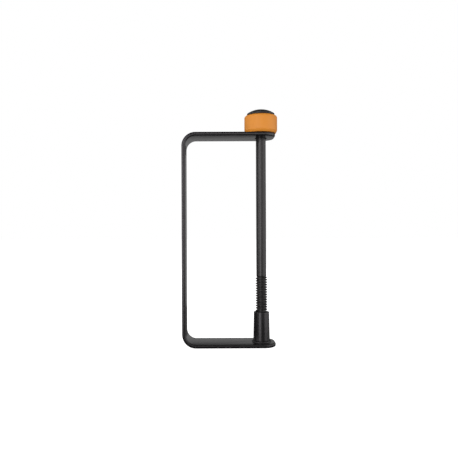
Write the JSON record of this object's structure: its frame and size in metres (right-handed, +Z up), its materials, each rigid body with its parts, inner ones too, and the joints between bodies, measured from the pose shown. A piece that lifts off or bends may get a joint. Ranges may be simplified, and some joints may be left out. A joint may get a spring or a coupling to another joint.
{
  "type": "strap clamp",
  "caption": "C-shaped flat-bar clamp bracket closed by a long clamp bolt with a round knob, which screws into a tapered boss on the lower leg.",
  "frame": {"origin": "on the clamp bolt's axis at the underside of the lower leg", "axes": "+Z up along the clamp bolt from the lower leg to the knob, +X from the bracket's spine towards the ends of its legs, +Y across the bar's width"},
  "size_m": [0.0772, 0.03, 0.1912],
  "materials": {
    "bracket_black": "satin powder coat",
    "bolt_black": "black oxide, oiled",
    "knob_orange": "satin moulded",
    "cap_black": "satin moulded",
    "washer_black": "moulded nylon",
    "spring_steel": "bright spring steel"
  },
  "bodies": {
    "bracket": {"strap_frame": "bracket_black", "threaded_boss": "bracket_black", "boss_weld_bead": "bracket_black"},
    "washer": {"thrust_washer": "washer_black"},
    "bolt": {"clamp_bolt": "bolt_black", "knob_body": "knob_orange", "knob_cap": "cap_black", "knob_retaining_ring": "spring_steel"}
  },
  "joints": [
    {"name": "washer_lift", "type": "slide", "parent": "bracket", "child": "washer", "axis": [0, 0, 1], "range_m": [0, 0.0228]},
    {"name": "bolt_turn", "type": "hinge", "parent": "washer", "child": "bolt", "pos_m": [0, 0, 0.1713], "axis": [0, 0, 1], "range_deg": [0, 4109]}
  ],
  "couplings": [
    {"joint": "bolt_turn", "follows": "washer_lift", "rad_per_m": 3141.6}
  ]
}
